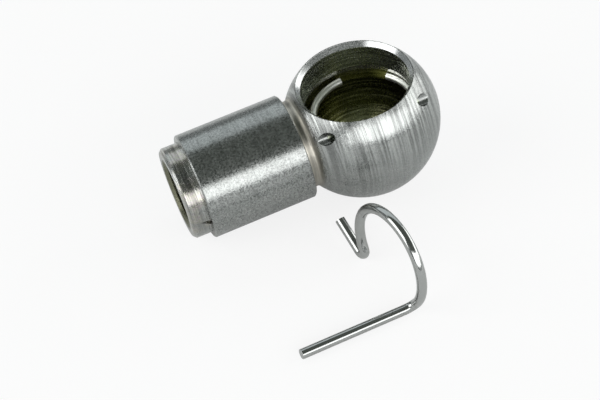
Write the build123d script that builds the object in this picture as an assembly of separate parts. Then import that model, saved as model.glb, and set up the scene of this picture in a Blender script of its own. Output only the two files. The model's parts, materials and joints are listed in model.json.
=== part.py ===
from build123d import *
import math
import os

# The socket half of an angle ball joint: a turned steel socket, the snap ring inside it and its
# wire safety clip, which has been taken off and lies beside it.
# Millimetres, +Z up. The origin is the centre of the ball's seat. The socket lies on its round head
# and on the lower edge of its shank, mouth up, with the shank towards -X.

# --- Socket: head and cavity ---
ball_d = 13.0  # the ball stud that the socket takes
seat_clearance = 0.05  # radial, between the ball and the bore
head_wall = 2.95  # from the bore's wall to the outside of the head
rim_chamfer = 0.55
seat_depth = 0.9  # how far the straight bore runs below the ball's centre
lead_height = 0.8  # flare of the bore's wall down into the ring groove
lead_flare = 0.25

# --- Socket: ring groove ---
groove_height = 0.75  # lower side of the groove above the ball's centre
groove_depth = 0.75

# --- Socket: neck, shank, collar and thread ---
neck_d = 10.9
neck_play = 0.06  # neck width left over beside the clip's wire
fillet_play = 0.05  # the fillet from neck to head is this much tighter than the clip's wire
shank_d = 13.0
shank_length = 13.05
collar_d = 11.4
collar_length = 2.36
collar_chamfer = 0.35
shoulder_chamfer = 0.15
thread_d = 8.0
thread_length = 11.0
thread_chamfer = 0.4
tap_drill_d = 6.8
tap_drill_extra = 1.5
drill_point = 118.0  # degrees

# --- Cross hole for the clip's leg ---
hole_play = 0.3  # on the diameter
wire_to_ball = 0.05
hole_elevation = 38.5  # degrees above the head's front, seen along the shank

# --- Nick beside the shank's end shoulder ---
nick_length = 1.3
nick_width = 0.9
nick_depth = 0.25
nick_angle = -8.0  # degrees about the shank's axis, from the front upwards

# --- Snap ring ---
ring_wire_d = 0.95
ring_play = 0.25  # groove height left over beside the ring
ring_inset = 0.35  # wire centre inside the bore's wall
ring_rest_gap = 0.02
ring_side_gap = 0.06
ring_gap_start = 39.7  # degrees, the ring is open from here
ring_gap_end = 94.6

# --- Safety clip ---
clip_wire_d = 1.2
clip_bend_reach = 1.45  # from the leg's corner to where each side of the bend ends
clip_hook_r = 0.75
clip_tip_out = 0.35  # how far the leg's tip stands out of the cross hole when the clip is fitted
clip_tab_length = 4.4
clip_tab_rise = 27.5  # degrees
clip_roll = 41.2  # degrees, from the floor up to the arc's centre, seen along the leg
clip_heading = 6.8  # degrees, the leg's direction on the floor
clip_splay = 5.3  # degrees, how far the arc's plane is from square to the leg
clip_corner_x = -3.45
clip_clearance = 13.6  # from the head's front to the leg's corner

# --- Worked out ---
bore_r = ball_d / 2 + seat_clearance
head_r = bore_r + head_wall
seat_r = math.hypot(bore_r, seat_depth)
rim_r = bore_r + rim_chamfer
rim_height = math.sqrt(head_r**2 - rim_r**2)
bore_top = rim_height - rim_chamfer
groove_r = bore_r + groove_depth
groove_top = groove_height + ring_wire_d + ring_play

wire_r = clip_wire_d / 2
neck_r = neck_d / 2
clip_seat = math.sqrt((head_r + wire_r) ** 2 - (neck_r + wire_r) ** 2)
fillet_r = wire_r - fillet_play
fillet_x = -math.sqrt((head_r + fillet_r) ** 2 - (neck_r + fillet_r) ** 2)
shank_r = shank_d / 2
shank_start = clip_seat + wire_r + neck_play
shank_end = shank_start + shank_length
collar_r = collar_d / 2
socket_end = shank_end + collar_length
thread_r = thread_d / 2
tap_drill_r = tap_drill_d / 2

hole_r = (clip_wire_d + hole_play) / 2
hole_offset = ball_d / 2 + wire_r + wire_to_ball
hole_y = -hole_offset * math.cos(math.radians(hole_elevation))
hole_z = hole_offset * math.sin(math.radians(hole_elevation))
hole_exit = math.sqrt(head_r**2 - hole_offset**2)

# The head's lowest point and the shank's lower edge touch one floor.
rest_lever = shank_end - shoulder_chamfer
rest_tilt = math.degrees(
    math.asin(head_r / math.hypot(rest_lever, shank_r)) - math.atan2(shank_r, rest_lever)
)
floor_z = -head_r


def lie_down(solid):
    """Tips the shank's end down until the socket rests on the floor."""
    return Rot(0, -rest_tilt, 0) * solid


def turned_body():
    """Head, neck, shank and collar, turned about the shank's axis, X, with a fillet behind the head."""
    with BuildPart() as body:
        with BuildSketch(Plane.XZ):
            with BuildLine():
                pole = (head_r, 0)
                crown = (0, head_r)
                fillet_centre = Vector(fillet_x, neck_r + fillet_r)
                to_head = -fillet_centre.normalized()
                to_neck = Vector(0, -1)
                head_edge = fillet_centre + to_head * fillet_r
                fillet_middle = fillet_centre + (to_head + to_neck).normalized() * fillet_r
                neck_edge = fillet_centre + to_neck * fillet_r
                ThreePointArc(pole, crown, head_edge)
                ThreePointArc(head_edge, fillet_middle, neck_edge)
                Polyline(
                    neck_edge,
                    (-shank_start, neck_r),
                    (-shank_start, shank_r - shoulder_chamfer),
                    (-shank_start - shoulder_chamfer, shank_r),
                    (-shank_end + shoulder_chamfer, shank_r),
                    (-shank_end, shank_r - shoulder_chamfer),
                    (-shank_end, collar_r),
                    (-socket_end + collar_chamfer, collar_r),
                    (-socket_end, collar_r - collar_chamfer),
                    (-socket_end, 0),
                    pole,
                )
            make_face()
        revolve(axis=Axis.X)
    return body.part


def threaded_bore():
    """The threaded hole at its major diameter, with its tapping drill's end beyond it."""
    thread_end = -socket_end + thread_length
    drill_end = thread_end + tap_drill_extra
    drill_tip = drill_end + tap_drill_r / math.tan(math.radians(drill_point / 2))
    with BuildPart() as bore:
        with BuildSketch(Plane.XZ):
            with BuildLine():
                Polyline(
                    (-socket_end, 0),
                    (-socket_end, thread_r + thread_chamfer),
                    (-socket_end + thread_chamfer, thread_r),
                    (thread_end, thread_r),
                    (thread_end, tap_drill_r),
                    (drill_end, tap_drill_r),
                    (drill_tip, 0),
                    close=True,
                )
            make_face()
        revolve(axis=Axis.X)
    return bore.part


def ball_cavity():
    """Bore, ring groove and round seat, cut from the head about the mouth's axis, Z."""
    with BuildPart() as cavity:
        with BuildSketch(Plane.XZ):
            with BuildLine():
                seat_bottom = (0, -seat_r)
                seat_edge = (bore_r, -seat_depth)
                seat_middle = (seat_r * math.sin(math.radians(45)), -seat_r * math.cos(math.radians(45)))
                ThreePointArc(seat_bottom, seat_middle, seat_edge)
                Polyline(
                    seat_edge,
                    (bore_r, groove_height),
                    (groove_r, groove_height),
                    (groove_r, groove_top),
                    (bore_r + lead_flare, groove_top),
                    (bore_r, groove_top + lead_height),
                    (bore_r, bore_top),
                    (bore_r + head_r - bore_top, head_r),
                    (0, head_r),
                    seat_bottom,
                )
            make_face()
        revolve(axis=Axis.Z)
    return cavity.part


def cross_hole():
    """A straight hole beside the shank's axis, through both sides of the head only."""
    clear_of_head = math.sqrt(head_r**2 - (hole_offset - hole_r) ** 2) + hole_play
    length = clear_of_head + head_r
    middle = (head_r - clear_of_head) / 2
    return Pos(middle, hole_y, hole_z) * Rot(0, 90, 0) * Cylinder(hole_r, length)


def nick():
    """A small three-cornered dent in the collar, widest at the shoulder."""
    with BuildPart() as dent:
        with BuildSketch(Plane.XZ.offset(collar_r - nick_depth)):
            with BuildLine():
                Polyline(
                    (-shank_end, -nick_width / 2),
                    (-shank_end, nick_width / 2),
                    (-shank_end - nick_length, nick_width / 2),
                    close=True,
                )
            make_face()
        extrude(amount=nick_depth * 2)
    return Rot(-nick_angle, 0, 0) * dent.part


def ball_socket():
    return lie_down(turned_body() - threaded_bore() - ball_cavity() - cross_hole() - nick())


def snap_ring():
    """An open wire ring that lies in the groove and springs against the groove's +X side."""
    mean_r = bore_r - ring_inset
    shift = groove_r - ring_side_gap - ring_wire_d / 2 - mean_r
    height = groove_height + ring_wire_d / 2 + ring_rest_gap
    sweep_angle = 360 - (ring_gap_end - ring_gap_start)
    path = CenterArc((shift, 0, height), mean_r, ring_gap_end, sweep_angle)
    section = Plane(origin=path @ 0, z_dir=path % 0) * Circle(ring_wire_d / 2)
    return lie_down(sweep(section, path=path))


def safety_clip():
    """One bent wire: a straight leg, an arc that grips the neck, a tight hook and a tab."""
    arc_r = neck_r + wire_r
    leg_length = clip_seat + hole_exit + clip_tip_out
    corner = Vector(clip_corner_x, -head_r - clip_clearance, floor_z + wire_r)
    leg = Vector(1, 0, 0).rotate(Axis.Z, clip_heading)
    normal = leg.rotate(Axis.Z, clip_splay)
    plane = Plane(origin=corner, x_dir=normal.rotate(Axis.Z, 90), z_dir=normal)

    corner_to_centre = math.hypot(arc_r, clip_bend_reach)
    roll = math.radians(clip_roll)
    centre = Vector(math.cos(roll), math.sin(roll)) * corner_to_centre
    arc_start = 180 + clip_roll - math.degrees(math.atan2(clip_bend_reach, arc_r))
    arc_end = math.degrees(math.asin((clip_hook_r - centre.Y) / (arc_r + clip_hook_r)))

    def around(middle, radius, angle):
        turned = math.radians(angle)
        flat = middle + Vector(math.cos(turned), math.sin(turned)) * radius
        return plane.from_local_coords(flat)

    hook = centre + Vector(1, 0).rotate(Axis.Z, arc_end) * (arc_r + clip_hook_r)
    hook_end = clip_tab_rise - 90
    tab = Vector(1, 0).rotate(Axis.Z, clip_tab_rise) * clip_tab_length
    tab_start = hook + Vector(1, 0).rotate(Axis.Z, hook_end) * clip_hook_r

    leg_tip = corner - leg * leg_length
    bend_start = corner - leg * clip_bend_reach
    arc_first = around(centre, arc_r, arc_start)
    arc_last = around(centre, arc_r, arc_end)
    path = Wire(
        [
            Edge.make_line(leg_tip, bend_start),
            Edge.make_tangent_arc(bend_start, leg, arc_first),
            Edge.make_three_point_arc(arc_first, around(centre, arc_r, (arc_start + arc_end) / 2), arc_last),
            Edge.make_three_point_arc(
                arc_last,
                around(hook, clip_hook_r, (arc_end - 180 + hook_end) / 2),
                plane.from_local_coords(tab_start),
            ),
            Edge.make_line(plane.from_local_coords(tab_start), plane.from_local_coords(tab_start + tab)),
        ]
    )
    section = Plane(origin=leg_tip, z_dir=leg) * Circle(wire_r)
    return sweep(section, path=path)


os.makedirs("parts", exist_ok=True)
export_step(ball_socket(), "parts/ball_socket.step")
export_step(snap_ring(), "parts/snap_ring.step")
export_step(safety_clip(), "parts/safety_clip.step")
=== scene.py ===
import json
import math

import bpy
from mathutils import Matrix, Vector


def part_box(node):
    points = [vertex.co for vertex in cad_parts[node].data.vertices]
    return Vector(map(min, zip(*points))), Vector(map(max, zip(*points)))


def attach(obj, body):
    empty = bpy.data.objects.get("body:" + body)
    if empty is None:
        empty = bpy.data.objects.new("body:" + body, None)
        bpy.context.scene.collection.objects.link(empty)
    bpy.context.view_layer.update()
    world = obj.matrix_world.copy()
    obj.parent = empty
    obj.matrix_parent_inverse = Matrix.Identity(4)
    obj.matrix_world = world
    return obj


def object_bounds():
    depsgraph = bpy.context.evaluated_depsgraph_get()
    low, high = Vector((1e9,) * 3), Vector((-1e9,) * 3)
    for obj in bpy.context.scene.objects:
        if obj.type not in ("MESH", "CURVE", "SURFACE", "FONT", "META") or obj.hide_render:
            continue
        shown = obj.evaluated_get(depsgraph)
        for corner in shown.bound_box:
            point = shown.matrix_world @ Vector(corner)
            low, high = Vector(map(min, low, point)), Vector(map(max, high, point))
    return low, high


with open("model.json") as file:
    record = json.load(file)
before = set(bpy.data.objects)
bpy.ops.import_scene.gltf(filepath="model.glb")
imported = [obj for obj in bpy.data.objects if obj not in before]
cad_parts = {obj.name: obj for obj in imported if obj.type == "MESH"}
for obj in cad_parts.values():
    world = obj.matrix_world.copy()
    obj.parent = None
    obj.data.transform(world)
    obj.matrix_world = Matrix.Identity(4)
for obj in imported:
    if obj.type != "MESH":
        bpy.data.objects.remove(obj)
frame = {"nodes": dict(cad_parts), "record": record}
cad_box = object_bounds()

MM = 0.001
FLOOR_Z = cad_box[0][2]

# --- What the frame says of the socket ---
mounts = {mount["name"]: mount for mount in frame["record"]["mounts"]}
MOUTH_AXIS = Vector(mounts["ball_seat"]["axis"])
THREAD_MOUNT = mounts["shank_thread"]
SHANK_AXIS = Vector(THREAD_MOUNT["axis"])
HEAD_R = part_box("ball_socket")[1][0]
THREAD_R = THREAD_MOUNT["dims"]["r_mm"] * MM
THREAD_LENGTH = THREAD_MOUNT["dims"]["length_mm"] * MM
THREAD_MIDDLE = Vector(THREAD_MOUNT["pos_m"])
THREAD_TOP = THREAD_MIDDLE.length - THREAD_LENGTH / 2
TILT = math.atan2(-MOUTH_AXIS.x, MOUTH_AXIS.z)

# --- Thread ridges, M8 x 1.25 ---
PITCH = 1.25 * MM
RIDGE_HEIGHT = 0.66 * MM
RIDGE_SINK = 0.03 * MM
CREST_WIDTH = 0.18 * MM
ROOT_WIDTH = 1.1 * MM
STEPS_PER_TURN = 96
RUN_OUT_TURNS = 0.6
THINNEST_SHARE = 0.02

# --- Camera ---
CAMERA_AZIMUTH = -19.55
CAMERA_ELEVATION = 42.92
CAMERA_ROLL = -3.06
CAMERA_DISTANCE = 204.9 * MM
CAMERA_LENS = 102.0
CAMERA_SENSOR = 36.0
CAMERA_CLIP_START = 0.01
CAMERA_AIM = Vector((-9.6, -3.35, -6.9)) * MM

# --- Lamps: name, azimuth, elevation, width, height, radiance, colour ---
LAMP_DISTANCE = 0.6
LAMPS = (
    ("front", 8, 21, 1.25, 0.3, 2.85, (1.0, 1.0, 1.0)),
    ("left", -88, 28, 0.5, 0.44, 3.0, (1.0, 1.0, 1.0)),
    ("right", 86, 19, 0.6, 0.3, 2.7, (1.0, 1.0, 0.99)),
    ("back", 170, 42, 1.2, 0.42, 0.85, (0.9, 0.96, 1.0)),
)
ZENITH_COLOUR = (0.14, 0.155, 0.14, 1)
HORIZON_COLOUR = (0.3, 0.32, 0.32, 1)
SKY_FADE = (0.1, 0.75)

# --- Floor ---
FLOOR_SIZE = 6.0
FLOOR_COLOUR = (0.93, 0.93, 0.93, 1)
FLOOR_WHITE_SEEN = 0.82
FLOOR_WHITE_MIRRORED = 0.05

# --- Regions of the socket, each from where its mask is 0 to where it is 1, in millimetres ---
# Distances from the ball's centre and from the shank's axis.
HEAD_RADIUS = HEAD_R / MM
CAVITY_FROM_CENTRE = (HEAD_RADIUS - 0.78, HEAD_RADIUS - 0.88)
MOUTH_FROM_CENTRE = (HEAD_RADIUS - 0.04, HEAD_RADIUS - 0.1)
SHANK_FROM_AXIS = (6.2, 6.35)
THREAD_FROM_AXIS = (THREAD_R / MM + 0.46, THREAD_R / MM + 0.38)
# Along the shank, where the ball's centre is at 0 and the shank runs to the negative side.
NECK_HEAD_SIDE = (-7.2, -7.8)
NECK_SHANK_SIDE = (-8.9, -8.7)
SHANK_START = (-8.5, -9.0)
THREAD_START = (-10.0, -11.0)
COLLAR_START = (-21.7, -21.9)
# Heights along the mouth's axis, from the ball's centre.
RIM_HEIGHT = (5.0, 5.5)
# From here down, the seat's colour carries painted shade.
WALL_HEIGHT = (1.2, 2.6)
FLARE_BOTTOM = (1.85, 2.0)
FLARE_TOP = (2.85, 2.7)
STREAKS_HEIGHT = (-2.0, 4.5)
# Painted shade: the steel's colour darkens from here towards the underside.
UNDERSIDE_SHADE_HEIGHT = (-HEAD_RADIUS, -0.2 * HEAD_RADIUS)

# --- Noise patterns: stretch along the shank, across it and along the mouth's axis, ---
# --- then scale, detail and roughness ---
TURNED_MARKS = ((2.6, 0.1, 0.1), 1.0, 4.0, 0.7)
SCORED_MARKS = ((7.5, 0.5, 0.5), 1.0, 2.0, 0.5)
BORED_MARKS = ((0.12, 0.12, 3.4), 1.0, 3.0, 0.6)
GRAIN = ((1.0, 1.0, 1.0), 4.6, 4.0, 0.7)
SPECKS = ((1.0, 1.6, 1.6), 2.4, 2.0, 0.6)
STAIN = ((1.0, 1.0, 1.0), 0.55, 3.0, 0.5)
WIRE_CLOUD = ((1.0, 1.0, 1.0), 1.3, 3.0, 0.5)
WIRE_GRAIN = ((1.0, 1.0, 1.0), 5.5, 3.0, 0.65)

# --- Plated steel, outside ---
STEEL_DARK = (0.275, 0.29, 0.28, 1)
STEEL_LIGHT = (0.335, 0.34, 0.335, 1)
COLLAR_YELLOW = (0.39, 0.38, 0.32, 1)
COLLAR_PINK = (0.40, 0.355, 0.355, 1)
PIT_COLOUR = (0.17, 0.18, 0.165, 1)
# Painted highlight: a light colour on the mouth's rim.
RIM_PAINTED_HIGHLIGHT = (0.52, 0.53, 0.53, 1)
# Warm grey tint, painted lighter to lift the shade in the neck's crease.
NECK_TINT_AND_PAINTED_LIGHT = (0.45, 0.43, 0.38, 1)
# Painted shade: how dark the colour gets at the underside.
UNDERSIDE_PAINTED_SHADE = 0.4
ANISOTROPY = 0.55
MARK_DEPTH = 0.065 * MM
GRAIN_DEPTH = 0.008 * MM
SCORED_SHARE = 0.45
ROUGH_LOW = 0.17
ROUGH_HIGH = 0.29
ROUGH_MORE_HEAD = 0.02
ROUGH_MORE_SHANK = 0.05
ROUGH_MORE_NECK = 0.2

# --- Olive film inside, with painted shade on the seat and the thread and a painted highlight on the flare ---
WALL_DARK = (0.3, 0.33, 0.25, 1)
WALL_LIGHT = (0.55, 0.58, 0.5, 1)
# Olive film on the seat, darkened as painted shade deep in the cavity.
SEAT_FILM_AND_SHADE_DARK = (0.1, 0.105, 0.04, 1)
SEAT_FILM_AND_SHADE_LIGHT = (0.3, 0.3, 0.18, 1)
# Painted highlight: a near-white colour on the flare.
FLARE_PAINTED_HIGHLIGHT = (1.0, 1.0, 0.96, 1)
# Olive tint darkened as painted shade inside the threaded bore.
THREAD_SHADE_COLOUR = (0.17, 0.17, 0.12, 1)

# --- Wires: two colours, two roughnesses and the depth of the marks ---
RING_WIRE = ((0.72, 0.73, 0.7, 1), (0.9, 0.9, 0.88, 1), 0.35, 0.55, 0.02 * MM)
CLIP_WIRE = ((0.36, 0.37, 0.36, 1), (0.43, 0.435, 0.43, 1), 0.1, 0.18, 0.002 * MM)
WIRE_ROUGH_NOISE = (0.35, 0.7)


def direction(azimuth, elevation):
    """A unit vector: azimuth 0 is towards -Y, 90 towards +X."""
    a = math.radians(azimuth)
    e = math.radians(elevation)
    return Vector((math.sin(a) * math.cos(e), -math.cos(a) * math.cos(e), math.sin(e)))


def facing(out, place):
    """A matrix at a place that looks back along out."""
    return Matrix.Translation(place) @ out.to_track_quat("Z", "Y").to_matrix().to_4x4()


def add_camera():
    out = direction(CAMERA_AZIMUTH, CAMERA_ELEVATION)
    data = bpy.data.cameras.new("camera")
    data.lens = CAMERA_LENS
    data.sensor_width = CAMERA_SENSOR
    data.clip_start = CAMERA_CLIP_START
    camera = bpy.data.objects.new("camera", data)
    bpy.context.collection.objects.link(camera)
    roll = Matrix.Rotation(math.radians(CAMERA_ROLL), 4, "Z")
    camera.matrix_world = facing(out, CAMERA_AIM + out * CAMERA_DISTANCE) @ roll
    bpy.context.scene.camera = camera


def add_lamp(name, azimuth, elevation, width, height, radiance, colour):
    data = bpy.data.lights.new(name, "AREA")
    data.shape = "RECTANGLE"
    data.size = width
    data.size_y = height
    data.color = colour
    data.energy = radiance * math.pi * width * height
    lamp = bpy.data.objects.new(name, data)
    bpy.context.collection.objects.link(lamp)
    out = direction(azimuth, elevation)
    lamp.matrix_world = facing(out, out * LAMP_DISTANCE)


class Graph:
    """Short calls for building one material's nodes."""

    def __init__(self, tree):
        self.tree = tree
        self.nodes = tree.nodes

    def put(self, kind, inputs=None, **settings):
        node = self.nodes.new(kind)
        for name, value in settings.items():
            setattr(node, name, value)
        for socket, value in (inputs or {}).items():
            self.feed(node.inputs[socket], value)
        return node

    def feed(self, socket, value):
        if isinstance(value, bpy.types.NodeSocket):
            self.tree.links.new(value, socket)
        else:
            socket.default_value = value

    def math(self, operation, a, b):
        return self.put("ShaderNodeMath", {0: a, 1: b}, operation=operation).outputs[0]

    def add(self, a, b):
        return self.math("ADD", a, b)

    def times(self, a, b):
        return self.math("MULTIPLY", a, b)

    def vector(self, operation, a, b):
        return self.put("ShaderNodeVectorMath", {0: a, 1: b}, operation=operation).outputs[0]

    def length(self, a):
        return self.put("ShaderNodeVectorMath", {0: a}, operation="LENGTH").outputs["Value"]

    def step(self, value, low, high, to_low=0.0, to_high=1.0):
        """A smooth ramp of a value, from to_low at low to to_high at high."""
        inputs = {"Value": value, "From Min": low, "From Max": high, "To Min": to_low, "To Max": to_high}
        return self.put("ShaderNodeMapRange", inputs, interpolation_type="SMOOTHSTEP").outputs[0]

    def pattern(self, coords, stretch, scale, detail, rough):
        """Noise that is finer where the stretch is larger."""
        stretched = self.vector("MULTIPLY", coords, stretch)
        inputs = {"Vector": stretched, "Scale": scale, "Detail": detail, "Roughness": rough}
        return self.put("ShaderNodeTexNoise", inputs).outputs["Fac"]

    def mix(self, factor, a, b):
        return self.put("ShaderNodeMix", {0: factor, 6: a, 7: b}, data_type="RGBA").outputs[2]

    def blend(self, factor, a, b):
        return self.put("ShaderNodeMix", {0: factor, 2: a, 3: b}, data_type="FLOAT").outputs[0]

    def pick(self, factor, a, b):
        return self.put("ShaderNodeMix", {0: factor, 4: a, 5: b}, data_type="VECTOR").outputs[1]

    def bump(self, height, distance, normal=None):
        inputs = {"Height": height, "Distance": distance, "Strength": 1.0}
        if normal is not None:
            inputs["Normal"] = normal
        return self.put("ShaderNodeBump", inputs).outputs[0]


def new_material(name):
    material = bpy.data.materials.new(name)
    material.use_nodes = True
    return material, Graph(material.node_tree), material.node_tree.nodes["Principled BSDF"]


def object_coords(g):
    return g.put("ShaderNodeTexCoord").outputs["Object"]


def in_millimetres(g, coords):
    return g.vector("MULTIPLY", coords, (1 / MM, 1 / MM, 1 / MM))


def socket_coords(g):
    """Millimetre coordinates along the shank, across it and along the mouth's axis."""
    turn = {"Vector": object_coords(g), "Axis": (0, 1, 0), "Angle": TILT}
    level = g.put("ShaderNodeVectorRotate", turn, rotation_type="AXIS_ANGLE").outputs[0]
    return in_millimetres(g, level)


def socket_masks(g, local, x, z):
    """Masks of 0 to 1 for the parts of the socket that are finished differently or carry painted light
    and shade.
    """
    from_centre = g.length(local)
    from_axis = g.length(g.vector("MULTIPLY", local, (0, 1, 1)))
    thread = g.times(g.step(from_axis, *THREAD_FROM_AXIS), g.step(x, *THREAD_START))
    inside = g.math("MAXIMUM", g.step(from_centre, *CAVITY_FROM_CENTRE), thread)
    mouth = g.math("MAXIMUM", inside, g.step(from_centre, *MOUTH_FROM_CENTRE))
    outside = g.math("SUBTRACT", 1.0, mouth)
    neck = g.times(g.step(x, *NECK_SHANK_SIDE), g.step(x, *NECK_HEAD_SIDE))
    return {
        "thread": thread,
        "inside": inside,
        "mouth": mouth,
        "outside": outside,
        "rim": g.times(g.math("SUBTRACT", mouth, inside), g.step(z, *RIM_HEIGHT)),
        "shank": g.times(g.step(x, *SHANK_START), g.step(from_axis, *SHANK_FROM_AXIS)),
        "collar": g.step(x, *COLLAR_START),
        "neck": g.times(neck, outside),
        # The band of the flare that gets a painted highlight.
        "flare": g.times(g.step(z, *FLARE_BOTTOM), g.step(z, *FLARE_TOP)),
    }


def socket_patterns(g, local):
    """Tool marks circle the shank's axis outside, and the mouth's axis inside."""
    return {
        "turned": g.pattern(local, *TURNED_MARKS),
        "scored": g.pattern(local, *SCORED_MARKS),
        "bored": g.pattern(local, *BORED_MARKS),
        "grain": g.pattern(local, *GRAIN),
        "specks": g.pattern(local, *SPECKS),
        "stain": g.pattern(local, *STAIN),
    }


def socket_normal(g, mask, pattern):
    """Tool marks, faint on the shank and the rim, then grain, strongest on the shank."""
    outer = g.add(pattern["turned"], g.times(pattern["scored"], SCORED_SHARE))
    marks = g.blend(mask["mouth"], outer, pattern["bored"])
    marks = g.times(marks, g.blend(g.math("MAXIMUM", mask["shank"], mask["rim"]), 1.0, 0.2))
    normal = g.bump(marks, MARK_DEPTH)
    grain = g.times(pattern["grain"], g.blend(mask["shank"], 0.25, 1.0))
    return g.bump(grain, GRAIN_DEPTH, normal)


def outside_tone(g, mask, pattern, z):
    """Streaks on the head and mottling on the shank, and painted shade that darkens the colour towards
    the underside.
    """
    streaks = g.step(pattern["turned"], 0.36, 0.64, -0.4, 0.4)
    streaks = g.times(streaks, g.blend(mask["shank"], 1.0, 0.25))
    streaks = g.times(streaks, g.step(z, *STREAKS_HEIGHT, 0.25, 1.0))
    mottle = g.step(pattern["grain"], 0.36, 0.66, -0.36, 0.42)
    mottle = g.times(mottle, g.blend(mask["shank"], 0.2, 0.8))
    tone = g.add(1.0, g.times(mask["outside"], g.add(streaks, mottle)))
    # Painted shade, darker towards the underside.
    return g.times(tone, g.step(z, *UNDERSIDE_SHADE_HEIGHT, UNDERSIDE_PAINTED_SHADE, 1.0))


def outside_colour(g, mask, pattern, z):
    """Stained zinc with a warm collar, pits, a painted highlight on the rim and a warm grey neck,
    painted lighter against the shade in its crease.
    """
    colour = g.mix(pattern["stain"], STEEL_DARK, STEEL_LIGHT)
    warm = g.mix(g.step(pattern["specks"], 0.45, 0.62), COLLAR_YELLOW, COLLAR_PINK)
    warm_share = g.times(mask["collar"], g.step(pattern["stain"], 0.4, 0.65, 0.1, 0.8))
    colour = g.mix(warm_share, colour, warm)
    pits = g.times(g.step(pattern["specks"], 0.42, 0.3), g.blend(mask["shank"], 0.12, 0.5))
    colour = g.mix(pits, colour, PIT_COLOUR)
    # Painted highlight on the rim.
    colour = g.mix(mask["rim"], colour, RIM_PAINTED_HIGHLIGHT)
    # Painted light: the neck is coloured lighter against the shade in its crease.
    colour = g.mix(mask["neck"], colour, NECK_TINT_AND_PAINTED_LIGHT)
    return g.vector("MULTIPLY", colour, outside_tone(g, mask, pattern, z))


def inside_colour(g, mask, pattern, z):
    """An olive film on wall and seat, painted shade that darkens the seat deep in the cavity, a painted
    highlight on the flare and an olive thread darkened as painted shade.
    """
    wall = g.mix(g.step(pattern["bored"], 0.38, 0.62), WALL_DARK, WALL_LIGHT)
    # The seat's olive film, darkened as painted shade deep in the cavity.
    seat = g.mix(g.step(pattern["bored"], 0.42, 0.66), SEAT_FILM_AND_SHADE_DARK, SEAT_FILM_AND_SHADE_LIGHT)
    colour = g.mix(g.step(z, *WALL_HEIGHT), seat, wall)
    # Painted highlight on the flare.
    colour = g.mix(mask["flare"], colour, FLARE_PAINTED_HIGHLIGHT)
    # Painted shade on the thread inside the bore.
    return g.mix(mask["thread"], colour, THREAD_SHADE_COLOUR)


def socket_roughness(g, mask, pattern):
    rough = g.step(pattern["grain"], 0.3, 0.7, ROUGH_LOW, ROUGH_HIGH)
    rough = g.add(rough, g.blend(mask["shank"], ROUGH_MORE_HEAD, ROUGH_MORE_SHANK))
    return g.add(rough, g.times(mask["neck"], ROUGH_MORE_NECK))


def plated_steel():
    """Turned and zinc plated steel that shines along its tool marks."""
    material, g, shader = new_material("plated_steel")
    local = socket_coords(g)
    split = g.put("ShaderNodeSeparateXYZ", {0: local})
    x = split.outputs["X"]
    z = split.outputs["Z"]
    mask = socket_masks(g, local, x, z)
    pattern = socket_patterns(g, local)
    outer = outside_colour(g, mask, pattern, z)
    inner = inside_colour(g, mask, pattern, z)
    g.feed(shader.inputs["Base Color"], g.mix(mask["inside"], outer, inner))
    g.feed(shader.inputs["Normal"], socket_normal(g, mask, pattern))
    g.feed(shader.inputs["Roughness"], socket_roughness(g, mask, pattern))
    g.feed(shader.inputs["Tangent"], g.pick(mask["mouth"], SHANK_AXIS, MOUTH_AXIS))
    shader.inputs["Metallic"].default_value = 1.0
    shader.inputs["Anisotropic"].default_value = ANISOTROPY
    return material


def wire(name, dark, light, smooth, coarse, marks):
    """Drawn and plated spring wire, from glossy to satin."""
    material, g, shader = new_material(name)
    local = in_millimetres(g, object_coords(g))
    grain = g.pattern(local, *WIRE_GRAIN)
    g.feed(shader.inputs["Base Color"], g.mix(g.pattern(local, *WIRE_CLOUD), dark, light))
    g.feed(shader.inputs["Roughness"], g.step(grain, *WIRE_ROUGH_NOISE, smooth, coarse))
    g.feed(shader.inputs["Normal"], g.bump(grain, marks))
    shader.inputs["Metallic"].default_value = 1.0
    return material


def dress(node, material):
    mesh = frame["nodes"][node].data
    mesh.materials.clear()
    mesh.materials.append(material)


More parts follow.
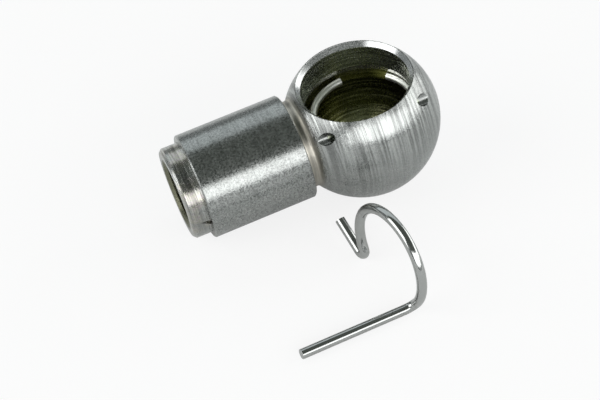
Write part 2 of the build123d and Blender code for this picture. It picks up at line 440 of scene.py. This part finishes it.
def thread_mesh():
    """One helical ridge with four points to a section, which fades out at both ends."""
    across = Vector((0, 1, 0))
    up = SHANK_AXIS.cross(across)
    turns = THREAD_LENGTH / PITCH - 1
    steps = int(turns * STEPS_PER_TURN)
    root_r = THREAD_R - RIDGE_SINK
    vertices = []
    faces = []
    for i in range(steps + 1):
        turn = i / STEPS_PER_TURN
        fade = min(1.0, turn / RUN_OUT_TURNS, (turns - turn) / RUN_OUT_TURNS)
        spin = turn * math.tau
        out = across * math.cos(spin) + up * math.sin(spin)
        middle = SHANK_AXIS * (THREAD_TOP + PITCH / 2 + turn * PITCH)
        crest_r = root_r - RIDGE_HEIGHT * max(fade, THINNEST_SHARE)
        section = (
            (-ROOT_WIDTH / 2, root_r),
            (-CREST_WIDTH / 2, crest_r),
            (CREST_WIDTH / 2, crest_r),
            (ROOT_WIDTH / 2, root_r),
        )
        vertices += [middle + SHANK_AXIS * along + out * radius for along, radius in section]
        if i < steps:
            a = i * 4
            b = a + 4
            faces += [(a + j, a + (j + 1) % 4, b + (j + 1) % 4, b + j) for j in range(4)]
    faces.append((3, 2, 1, 0))
    faces.append(tuple(steps * 4 + j for j in range(4)))
    mesh = bpy.data.meshes.new("thread_ridges")
    mesh.from_pydata(vertices, [], faces)
    mesh.update()
    return mesh


def add_thread(material):
    mesh = thread_mesh()
    mesh.materials.append(material)
    ridges = bpy.data.objects.new("thread_ridges", mesh)
    bpy.context.collection.objects.link(ridges)
    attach(ridges, "root")


def add_floor():
    """A pale floor that keeps the shadow and looks white to the camera and in the metal."""
    bpy.ops.mesh.primitive_plane_add(size=FLOOR_SIZE, location=(0, 0, FLOOR_Z))
    floor = bpy.context.object
    floor.name = "floor"
    material, g, shader = new_material("floor")
    shader.inputs["Base Color"].default_value = FLOOR_COLOUR
    shader.inputs["Roughness"].default_value = 1.0
    path = g.put("ShaderNodeLightPath").outputs
    mirrored = g.math("MAXIMUM", path["Is Glossy Ray"], path["Is Transmission Ray"])
    seen = g.times(path["Is Camera Ray"], FLOOR_WHITE_SEEN)
    share = g.add(seen, g.times(mirrored, FLOOR_WHITE_MIRRORED))
    white = g.put("ShaderNodeEmission", {"Color": (1, 1, 1, 1), "Strength": 1.0}).outputs[0]
    both = g.put("ShaderNodeMixShader", {0: share, 1: shader.outputs[0], 2: white}).outputs[0]
    g.feed(g.nodes["Material Output"].inputs["Surface"], both)
    floor.data.materials.append(material)


def add_world():
    """Pale at the horizon and dim overhead."""
    world = bpy.data.worlds.new("studio")
    bpy.context.scene.world = world
    world.use_nodes = True
    g = Graph(world.node_tree)
    place = g.put("ShaderNodeTexCoord").outputs["Generated"]
    height = g.put("ShaderNodeSeparateXYZ", {0: place}).outputs["Z"]
    colour = g.mix(g.step(height, *SKY_FADE), HORIZON_COLOUR, ZENITH_COLOUR)
    g.feed(g.nodes["Background"].inputs["Color"], colour)


add_camera()
for lamp in LAMPS:
    add_lamp(*lamp)
add_world()
add_floor()

steel = plated_steel()
dress("ball_socket", steel)
dress("snap_ring", wire("ring_wire", *RING_WIRE))
dress("safety_clip", wire("clip_wire", *CLIP_WIRE))
add_thread(steel)

bpy.context.scene.view_settings.view_transform = "Standard"
